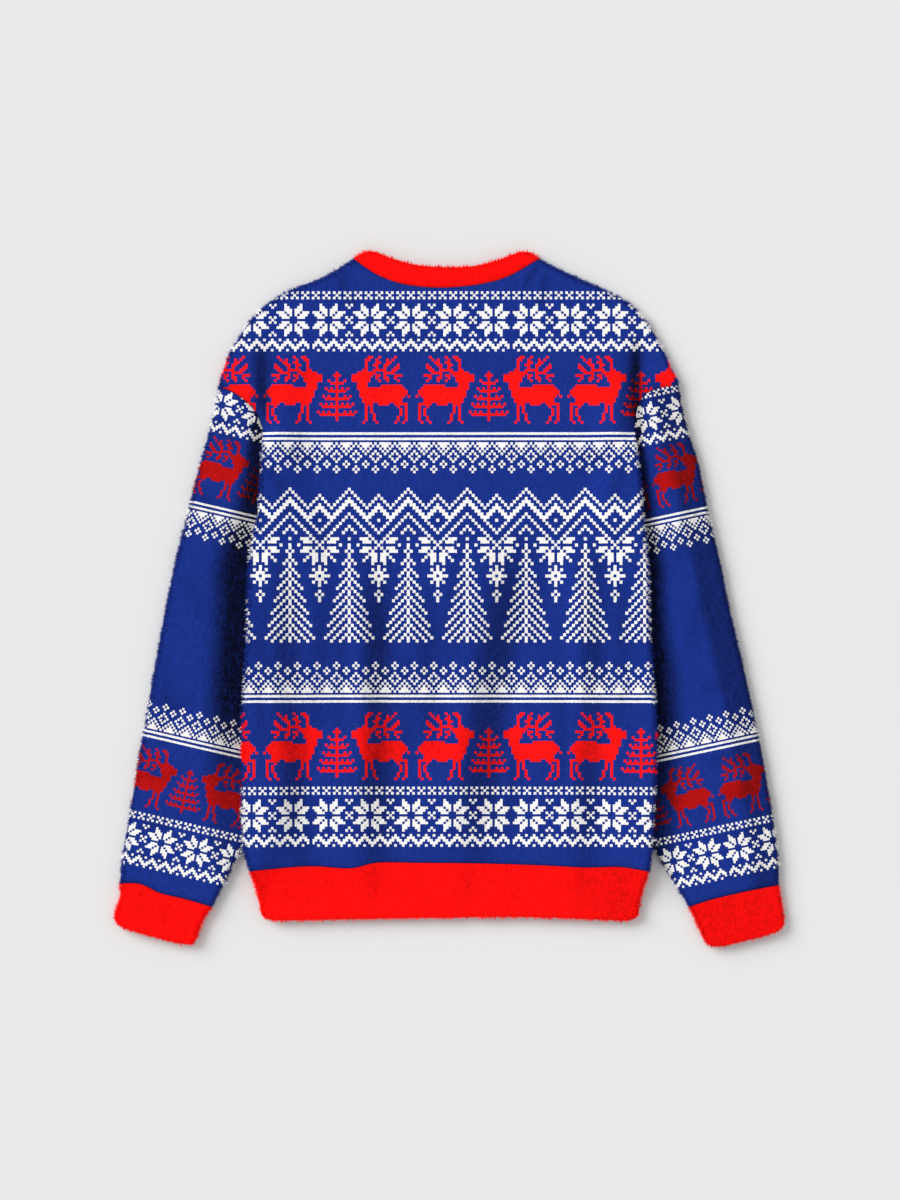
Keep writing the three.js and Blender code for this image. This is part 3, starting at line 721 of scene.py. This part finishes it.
def pile(name, layers, material, seed, flat_density, edge_density, comb, print_of=lambda p: p,
         rim_highlight_above=-1000):
    """Strands of the pile, standing on the cloth and lying over the way it is brushed. The tips at folded
    edges carry a painted rim highlight, from a height of the plan upwards, and each strand carries the
    painted shade of its place."""
    rng = np.random.default_rng(seed)
    found = [scattered(layer, rng, flat_density[layer["up"]], edge_density) for layer in layers]
    roots, prints, deeps, normals, turns = map(np.concatenate, zip(*found))
    count = len(roots)
    stray = rng.normal(0, 0.34, (count, 3))
    lean = normals * (0.62 + 0.5 * turns)[:, None] + np.array(comb) * (0.75 - 0.5 * turns)[:, None] + stray
    lean -= normals * np.minimum((lean * normals).sum(1) - 0.3, 0)[:, None]
    # At an edge the strands gather in tufts of uneven height.
    edge = smooth(turns * 2.5)[:, None]
    tuft = np.floor(roots[:, :2] / tuft_size).astype(int)
    heights = rng.random((97, 89))
    tall = heights[tuft[:, 0] % 97, tuft[:, 1] % 89][:, None]
    lean[:, :2] += 0.3 * edge * ((tuft + 0.5) * tuft_size - roots[:, :2])
    lean /= np.linalg.norm(lean, axis=1, keepdims=True)
    length = rng.uniform(*strand_length, (count, 1)) + tuft_height * tall * edge
    width = rng.uniform(*strand_width, (count, 1)) + rng.uniform(0, tuft_width, (count, 1)) * edge
    # Strand tips at folded edges get a painted rim highlight, above a given plan height.
    rim_highlight = smooth(turns * 3.5 - 2.5) * (roots[:, 1] > rim_highlight_above)
    width += tip_width * rim_highlight[:, None]
    beside = np.cross(lean, rng.normal(0, 1, (count, 3)))
    beside /= np.linalg.norm(beside, axis=1, keepdims=True)
    over = np.cross(lean, beside)

    piece, points = bare_strands(name, count)
    mesh = piece.data
    corners = []
    for point in points:
        reach = length if point.z > 0 else -0.4
        corners.append(roots + lean * reach + beside * point.x * width + over * point.y * width)
    corners = np.stack(corners, axis=1)
    corners[..., 2] = np.maximum(corners[..., 2], 0.05)
    mesh.vertices.foreach_set("co", (corners / 1000).astype(np.float32).ravel())
    order = np.empty(len(mesh.loops), np.int32)
    mesh.loops.foreach_get("vertex_index", order)
    strand, corner = order // len(points), order % len(points)
    shown = print_of(prints)[strand] / 1000
    highlighted_tips = np.array([point.z > 0 for point in points])[corner] * rim_highlight[strand]
    mesh.uv_layers["print"].uv.foreach_set("vector", shown.astype(np.float32).ravel())
    painted_light_map = np.column_stack([highlighted_tips, deeps[strand, 0]])
    mesh.uv_layers["strand"].uv.foreach_set("vector", painted_light_map.astype(np.float32).ravel())
    mesh.materials.append(material)
    mesh.update()
    return piece


def sew_on(piece, strands, node):
    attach(piece, "root")
    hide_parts(node)
    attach(strands, "root")


def body_boundary(side):
    plan = plans[side]
    down = stepped(plan["side"], seam_steps, seam_steps)
    seam = shifted(stepped(plan["armhole"], seam_steps, seam_steps), -half_gap)
    up = stepped(plan["shoulder"], seam_steps, seam_steps)
    return [mirrored(part, sides[side]) for part in (down[:0:-1], seam[::-1], up[1:])]


def body_grid(neck_seam):
    # Both sides take the same number of rows between the same corners.
    runs = []
    for left, right in zip(body_boundary("left"), body_boundary("right")):
        count = len(left)
        shares = along(left) / along(left)[-1]
        runs.append((left, walk(right, shares), count))
    left = np.vstack([run[0] for run in runs])
    right = np.vstack([run[1] for run in runs])
    hem = line_through(hem_lines["seam"])
    vs = shares_of(hem, cloth_step, roll_steps, roll_steps)
    bottom = shifted(walk(hem, vs), half_gap)
    top = shifted(walk(line_through(neck_seam), vs), -half_gap)
    us = along(left) / along(left)[-1]
    tip = us[len(us) - runs[2][2] - 1]
    share = np.maximum(us - tip, 0) / (1 - tip)
    return patch(left, right, bottom, top, us, vs, share * (1.5 - 0.5 * share))


body_edges = [
    mirrored(plans[side][name], sign) for side, sign in sides.items() for name in ("side", "shoulder")]
armhole_lines = [mirrored(plans[side]["armhole"], sign) for side, sign in sides.items()]
hem_seam = line_through(hem_lines["seam"])
back_neck_seam = line_through(neck_lines["back_seam"])


def body_form(troughs, shades):
    def form(p):
        cosine, inward = turn_at(body_edges, np.array([0, 0]), p)
        # Beside a sleeve the cloth runs flat to the seam, and its side is folded below the armpit.
        beside_sleeve = p[:, 1] < armhole_points["left"][1][1]
        cosine = np.where(beside_sleeve, cosine * smooth((armpit_y - p[:, 1]) / 25), cosine)
        armpit_x = np.where(p[:, 0] < 0, *(armhole_points[side][-1][0] for side in ("left", "right")))
        half = half_height(np.hypot(np.abs(p[:, 0]) - armpit_x, p[:, 1] - armpit_y))
        trough = troughs(p)
        # Painted shade: darker in the troughs and along the given shade rows.
        deep = 1 - (1 - deepened(trough)) * (1 - crease_at(shades, p))
        return cosine, inward, lift_at(p) + half, half, trough, deep
    return form


body_print = printed_fleece(
    "printed_fleece_body", -145.7, -145.7, -118.7, True, (0.98, 0.006, 0.005), -32)
back_skin = skin(
    body_grid(neck_lines["back_seam"]), 1,
    body_form(lambda p: fold_at(p) + crease_at(back_creases, p)
              + seam_dip([*armhole_lines, hem_seam, back_neck_seam], p), back_painted_shades), half_gap)
back = sewn("back_panel", [back_skin], body_print)
back_pile = pile("back_pile", [back_skin], body_print, 11, {1: 0.15}, 0.9, (0, -1, 0),
                 rim_highlight_above=armpit_y + 8)
sew_on(back, back_pile, "back")

front_skin = skin(
    body_grid(neck_lines["front_seam"]), -1,
    body_form(lambda p: crease_at(front_creases, p), []), half_gap)
front = sewn("front_panel", [front_skin], body_print)
front_pile = pile("front_pile", [front_skin], body_print, 12, {-1: 0.08}, 0.7, (0, -1, 0),
                  rim_highlight_above=armpit_y + 8)
sew_on(front, front_pile, "front")


# The sleeves: each one piece of the same fleece, folded along its outer edge and sewn into a
# tapered tube, set into the armhole. They lie beside the body with their inner margin under it.
sleeve_creases = {
    "left": [
        (247, 196, 233, 176, 224, 148, 0.8, 8),
        (266, 118, 250, 92, 243, 52, 0.8, 9),
        (286, 30, 268, 6, 258, -36, 0.7, 9),
        (312, -96, 286, -112, 262, -104, 0.8, 9),
        (318, -140, 296, -160, 272, -158, -0.5, 9),
        (326, -178, 302, -190, 276, -182, 0.8, 8),
        (334, -232, 306, -240, 280, -232, 0.9, 9),
        (336, -262, 312, -278, 284, -276, 0.7, 7),
        (300, -40, 296, -120, 306, -200, 0.6, 10),
    ],
    "right": [
        (244, 190, 230, 168, 222, 132, 0.8, 8),
        (262, 96, 247, 66, 240, 20, 0.7, 9),
        (280, 12, 262, -22, 256, -70, 0.7, 9),
        (306, -82, 280, -94, 258, -88, 0.7, 9),
        (322, -150, 298, -170, 270, -166, 0.9, 9),
        (328, -196, 304, -206, 276, -214, 0.8, 8),
        (334, -240, 310, -252, 282, -248, 0.8, 9),
        (340, -276, 316, -286, 288, -292, 0.7, 7),
        (296, -30, 292, -110, 300, -180, -0.5, 10),
    ],
}
sleeve_under_creases = [
    (300, -60, 276, -80, 250, -74, 0.8, 10),
    (320, -170, 296, -186, 268, -180, 0.9, 10),
    (262, 120, 246, 90, 238, 40, 0.7, 9),
]
# Places where painted shade darkens the head of a sleeve, by the armhole.
sleeve_painted_shades = {
    "left": [(216, 216, 204, 201, 196, 170, 0.6, 8)],
    "right": [(200, 226, 198, 202, 200, 168, 0.92, 6)],
}
# How dark the painted shade on the pile is where a sleeve goes down under the body, and along its outer
# edge: the share, how far it reaches, and over which width it fades. The next table gives how much wider and
# how much weaker this is lower down.
sleeve_painted_shade = {
    "left": [(0.92, 50, 34)],
    "right": [(0.93, 27, 22), (0.5, 36, 14)],
}
sleeve_painted_shade_lower = {"left": (0.0, 0.65), "right": (0.4, 0.2)}
sleeve_middle = np.array([240, -85])
# A sleeve's print is a little smaller than the body's and slants with the arm. Each row gives
# the slant, the scale along and across its rows, and a plan place with its place in the print.
sleeve_prints = {
    "left": {"slant": -13.1, "along": 0.892, "across": 0.889, "row": 35.6, "row_print": 170.9,
             "fir": -223.9, "fir_print": -118.3},
    "right": {"slant": 12.0, "along": 0.865, "across": 0.889, "row": 35.3, "row_print": 170.9,
              "fir": 231.0, "fir_print": -38.5},
}


def sleeve_print_of(side):
    lay = sleeve_prints[side]
    slant = np.radians(lay["slant"])
    run = np.array([np.cos(slant), np.sin(slant)])
    rise = np.array([-np.sin(slant), np.cos(slant)])

    def place(p):
        x = lay["fir_print"] + (p @ run - lay["fir"]) / lay["along"]
        y = lay["row_print"] + (p @ rise - lay["row"]) / lay["across"]
        return np.column_stack([x, y])
    return place


def sleeve_skins(side):
    plan = plans[side]
    sign = sides[side]
    armhole = stepped(plan["armhole"], roll_steps, seam_steps)
    hidden = stepped(plan["hidden"], seam_steps, roll_steps)
    bottom = shifted(np.vstack([armhole, hidden[1:]]), half_gap)
    vs = along(bottom) / along(bottom)[-1]
    rows = round(along(plan["outer"])[-1] / cloth_step)
    us = np.linspace(0, 1, rows + 1)
    cuff_seam = line_through(cuff_lines[side]["seam"])
    top = shifted(walk(cuff_seam, vs), -half_gap)
    grid = patch(walk(plan["outer"], us), walk(plan["inner"], us), bottom, top, us, vs)

    def form(trough, up):
        def at(q):
            p = mirrored(q, sign)
            under = (p[:, 1] < armpit_y) & (p[:, 0] < across_at(plan["side"], p[:, 1]))
            distance = np.where(under, 0, nearest(plan["side"], p)[0])
            half = half_height(distance)
            cosine, inward = turn_at([plan["outer"], plan["inner"]], sleeve_middle, p)
            sunk = trough(p)
            # The lower layer rests on the floor and gets painted shade only at its folded edges.
            shown = 1 if up > 0 else smooth(cosine)
            # Painted shade: darker in troughs, by the armhole, where the sleeve goes under the body and
            # along its outer edge.
            light = (1 - deepened(sunk)) * (1 - shown * crease_at(sleeve_painted_shades[side], p, 0.15))
            from_edge = nearest(plan["outer"], p)[0]
            wider, weaker = sleeve_painted_shade_lower[side]
            spread = 0.45 + 0.55 * smooth((170 - p[:, 1]) / 150) + wider * smooth(-p[:, 1] / 90)
            kept = shown * (1 - weaker * smooth((-100 - p[:, 1]) / 130))
            for (share, reach, fade), off in zip(sleeve_painted_shade[side], (distance / spread, from_edge)):
                light = light * (1 - share * kept * smooth((reach - off) / fade))
            return cosine, mirrored(inward, sign), half, half, sunk, 1 - light
        return at

    def upper(p):
        return crease_at(sleeve_creases[side], p) + seam_dip([plan["armhole"], cuff_seam], p)

    def lower(p):
        return crease_at(sleeve_under_creases, p)

    # No point may cross the line that the tucked margin ends on.
    rows_in = np.arange(1, len(grid) - 1)[:, None]
    tucked = across_at(plan["hidden"], grid[1:-1, :-1, 1]) + 0.3 + 0.2 * rows_in
    beside = grid[1:-1, :-1, 1] > underarm_y + 60
    grid[1:-1, :-1, 0] = np.where(beside, np.maximum(grid[1:-1, :-1, 0], tucked), grid[1:-1, :-1, 0])
    placed = mirrored(grid, sign)
    return [skin(placed, 1, form(upper, 1)), skin(placed, -1, form(lower, -1))]


sleeve_fleece = {
    "left": printed_fleece(
        "printed_fleece_left_sleeve", -198.9, -195.1, -123.1, False, (0.47, 0.004, 0.004), -10),
    "right": printed_fleece(
        "printed_fleece_right_sleeve", -43.8, -43.8, -108.2, False, (0.42, 0.004, 0.004), 14),
}
for side, seed in (("left", 21), ("right", 22)):
    layers = sleeve_skins(side)
    place = sleeve_print_of(side)
    comb = (0.22 * sides[side], -0.97, 0)
    sleeve = sewn(f"{side}_sleeve", layers, sleeve_fleece[side], place)
    strands = pile(f"sleeve_{side}_pile", layers, sleeve_fleece[side], seed, {1: 0.15, -1: 0.06}, 0.9,
                   comb, place)
    sew_on(sleeve, strands, f"sleeve_{side}")


# The ribs at the neck, the hem and the cuffs: bands of red plush, each folded in two along its
# free edge and sewn on as a ring a little shorter than the edge it gathers.
red_plush = bpy.data.materials.new("red_rib")
red_plush.use_nodes = True
red_colour = red_plush.node_tree.nodes.new("ShaderNodeRGB")
red_colour.outputs[0].default_value = (0.98, 0.0030, 0.0022, 1)
# The pale pink colour is the painted rim highlight on strand tips at the edges.
plush(red_plush.node_tree, red_colour.outputs[0], (1.0, 0.55, 0.53), (900, 300, 900), -24, 0.9)

hem_creases = [
    (-172, -284, -170, -306, -176, -332, 0.6, 6),
    (-120, -280, -122, -300, -116, -326, 0.5, 6),
    (-76, -276, -76, -298, -74, -330, 0.9, 9),
    (-28, -278, -30, -300, -24, -322, 0.4, 6),
    (20, -276, 21, -300, 17, -334, 0.9, 10),
    (72, -280, 70, -304, 75, -324, 0.5, 6),
    (143, -281, 142, -302, 139, -333, 0.7, 8),
    (186, -284, 184, -306, 188, -328, 0.5, 5),
]
cuff_creases = [
    (322, -302, 324, -322, 318, -342, 0.6, 6),
    (296, -312, 298, -330, 292, -352, 0.7, 7),
    (270, -320, 276, -338, 278, -356, 0.5, 5),
]

# A rib's free edge is folded with a small radius, and its pile stands up this far in from it.
rib_step = 3.0
edge_radius = 1.8
edge_steps = (0, 0.5, 1.1, edge_radius)
hairy_edge = 2.4


def band_skins(upper, lower, ends, centre, lift, trough, shade, sign=1):
    """The two layers of a rib, each a (seam, free edge) pair of lines, between folded ends."""
    end_lines = [mirrored(line_through(end), sign) for end in ends]
    rows = shares_of(end_lines[0], rib_step, (0, 1.2), edge_steps)
    left, right = (walk(line, rows) for line in end_lines)
    layers = []
    for up, (seam, edge) in ((1, upper), (-1, lower)):
        seam_line = mirrored(line_through(seam), sign)
        edge_line = mirrored(line_through(edge), sign)
        vs = shares_of(mirrored(line_through(upper[0]), sign), rib_step, roll_steps, roll_steps)
        bottom = shifted(walk(seam_line, vs), half_gap * sign)
        grid = patch(left, right, bottom, walk(edge_line, vs), rows, vs)

        def form(p, seam_line=seam_line, edge_line=edge_line, up=up):
            cosine, inward = turn_at(end_lines, np.array(centre) * [sign, 1], p)
            from_edge = np.minimum(nearest(edge_line, p)[0], edge_radius)
            rounded = edge_radius - np.sqrt(np.maximum(edge_radius**2 - (edge_radius - from_edge) ** 2, 0))
            dip = rounded + seam_dip([seam_line], p)
            if up > 0:
                dip = dip + trough(p)
            half = np.full(len(p), laid_half)
            # Painted shade: darker at the foot of the troughs, and by the share the shade function gives.
            deep = 1 - (1 - 0.4 * deepened(dip - rounded)) * (1 - shade(p))
            return cosine, inward, lift(p) + laid_half, half, dip, deep
        layer = skin(grid, up, form)
        off_edge = nearest(edge_line, grid.reshape(-1, 2))[0]
        free = 1 - np.minimum(off_edge, hairy_edge) / hairy_edge
        layer["turn"] = np.maximum(layer["turn"], free.reshape(grid.shape[:2]))
        layers.append(layer)
    return layers


def level(p):
    return np.zeros(len(p))


hem_layer = (hem_lines["seam"][::-1], hem_lines["edge"][::-1])
# The hem gets painted shade that grows towards its right end.
hem_skins = band_skins(
    hem_layer, hem_layer, [hem_lines["right"], hem_lines["left"]], (0, -304), lift_at,
    lambda p: fold_at(p) + crease_at(hem_creases, p), lambda p: 0.17 * smooth((p[:, 0] - 100) / 90))
hem = sewn("hem_band", hem_skins, red_plush)
hem_pile = pile("hem_rib_pile", hem_skins, red_plush, 31, {1: 0.3, -1: 0.12}, 0.9, (0, -1, 0))
sew_on(hem, hem_pile, "hem_rib")

neck_ends = [
    [neck_lines["back_seam"][0], neck_lines["back_edge"][0]],
    [neck_lines["back_seam"][-1], neck_lines["back_edge"][-1]],
]
neck_skins = band_skins(
    (neck_lines["back_seam"], neck_lines["back_edge"]),
    (neck_lines["front_seam"], neck_lines["front_edge"]), neck_ends, (-4, 320), level, level, level)
neck = sewn("neck_band", neck_skins, red_plush)
neck_pile = pile("neck_rib_pile", neck_skins, red_plush, 32, {1: 0.3, -1: 0.12}, 0.9, (0, 0.6, 0))
sew_on(neck, neck_pile, "neck_rib")

for side, seed in (("left", 33), ("right", 34)):
    lines = cuff_lines[side]
    layer = (lines["seam"], lines["end"])
    # The right cuff gets painted shade, the left one only a trace.
    skins = band_skins(
        layer, layer, [lines["outer"], lines["inner"]], (305, -328), level,
        lambda p, side=side: crease_at(cuff_creases, mirrored(p, sides[side])),
        lambda p: np.where(p[:, 0] > 0, 0.15, 0.02), sign=sides[side])
    cuff = sewn(f"{side}_cuff", skins, red_plush)
    strands = pile(f"cuff_{side}_pile", skins, red_plush, seed, {1: 0.3, -1: 0.12}, 0.9,
                   (0.25 * sides[side], -0.97, 0))
    sew_on(cuff, strands, f"cuff_{side}")


# The studio: a plain pale floor, a soft low light from the upper left, an even glow from all
# round, and a camera that looks straight down.
floor_mesh = bmesh.new()
bmesh.ops.create_grid(floor_mesh, x_segments=2, y_segments=2, size=6)
floor_data = bpy.data.meshes.new("floor")
floor_mesh.to_mesh(floor_data)
floor_mesh.free()
floor = bpy.data.objects.new("floor", floor_data)
bpy.context.collection.objects.link(floor)
floor_paint = bpy.data.materials.new("pale_floor")
floor_paint.use_nodes = True
floor_surface = floor_paint.node_tree.nodes["Principled BSDF"]
floor_surface.inputs["Base Color"].default_value = (0.725, 0.725, 0.725, 1)
floor_surface.inputs["Roughness"].default_value = 0.9
floor_surface.inputs["Specular IOR Level"].default_value = 0.0
floor_data.materials.append(floor_paint)
floor.location.z = -0.0005

sun_data = bpy.data.lights.new("soft_key", "SUN")
sun_data.energy = 2.67
sun_data.angle = 0.7
sun = bpy.data.objects.new("soft_key", sun_data)
sun.rotation_euler = (0, np.radians(-57), np.radians(-34))
bpy.context.collection.objects.link(sun)

world = bpy.data.worlds.new("studio")
world.use_nodes = True
world.node_tree.nodes["Background"].inputs["Color"].default_value = (1, 1, 1, 1)
world.node_tree.nodes["Background"].inputs["Strength"].default_value = 0.68
bpy.context.scene.world = world
bpy.context.scene.view_settings.view_transform = "Standard"

camera_data = bpy.data.cameras.new("overhead")
camera_data.sensor_fit = "VERTICAL"
camera_data.sensor_height = 36
camera_data.lens = 100
camera = bpy.data.objects.new("overhead", camera_data)
camera.location = (0.0005, -0.0013, 3.513)
bpy.context.collection.objects.link(camera)
bpy.context.scene.camera = camera
